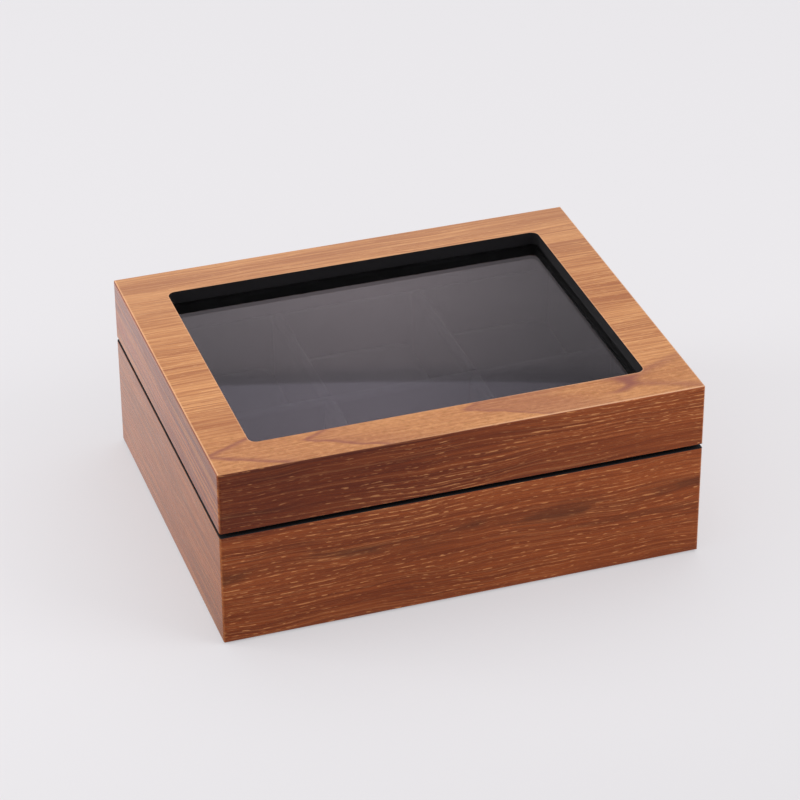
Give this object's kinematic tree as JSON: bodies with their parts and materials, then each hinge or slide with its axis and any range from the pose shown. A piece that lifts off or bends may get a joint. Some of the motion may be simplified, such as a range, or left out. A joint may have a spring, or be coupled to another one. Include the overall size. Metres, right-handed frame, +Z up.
{
  "type": "pocket watch display box",
  "caption": "Wooden display box with a glazed lid on stop hinges, over velvet compartments with padded floors for pocket watches.",
  "frame": {"origin": "middle of the felt's underside, on the table under the centre of the wooden box", "axes": "+X along the front to the right, +Y from the front to the hinges at the back, +Z up"},
  "size_m": [0.2, 0.164, 0.0785],
  "materials": {
    "veneer": "lacquered, satin",
    "board": "raw hardboard",
    "velvet": "short pile",
    "felt": "pressed felt",
    "glass": "polished",
    "brass": "brushed and lacquered"
  },
  "bodies": {
    "base": {"bottom_felt": "felt", "base_bottom_panel": "board", "base_front_wall": "veneer", "base_back_wall": "veneer", "base_left_wall": "veneer", "base_right_wall": "veneer", "base_front_liner": "velvet", "base_back_liner": "velvet", "base_left_liner": "velvet", "base_right_liner": "velvet", "left_divider": "velvet", "right_divider": "velvet", "cross_divider": "velvet", "watch_pad_front_left": "velvet", "watch_pad_front_middle": "velvet", "watch_pad_front_right": "velvet", "watch_pad_back_left": "velvet", "watch_pad_back_middle": "velvet", "watch_pad_back_right": "velvet", "left_hinge_base_leaf": "brass", "right_hinge_base_leaf": "brass", "left_hinge_pin": "brass", "right_hinge_pin": "brass", "base_hinge_screws": "brass"},
    "lid": {"lid_top_panel": "veneer", "lid_front_rail": "veneer", "lid_back_rail": "veneer", "lid_left_rail": "veneer", "lid_right_rail": "veneer", "window_glass": "glass", "glass_retainer_front": "velvet", "glass_retainer_back": "velvet", "glass_retainer_left": "velvet", "glass_retainer_right": "velvet", "lid_front_liner": "velvet", "lid_back_liner": "velvet", "lid_left_liner": "velvet", "lid_right_liner": "velvet", "left_hinge_lid_leaf": "brass", "right_hinge_lid_leaf": "brass", "lid_hinge_screws": "brass"}
  },
  "joints": [
    {"name": "lid_hinge", "type": "hinge", "parent": "base", "child": "lid", "pos_m": [0, 0.0817, 0.0506], "axis": [-1, 0, 0], "range_deg": [0, 95]}
  ]
}
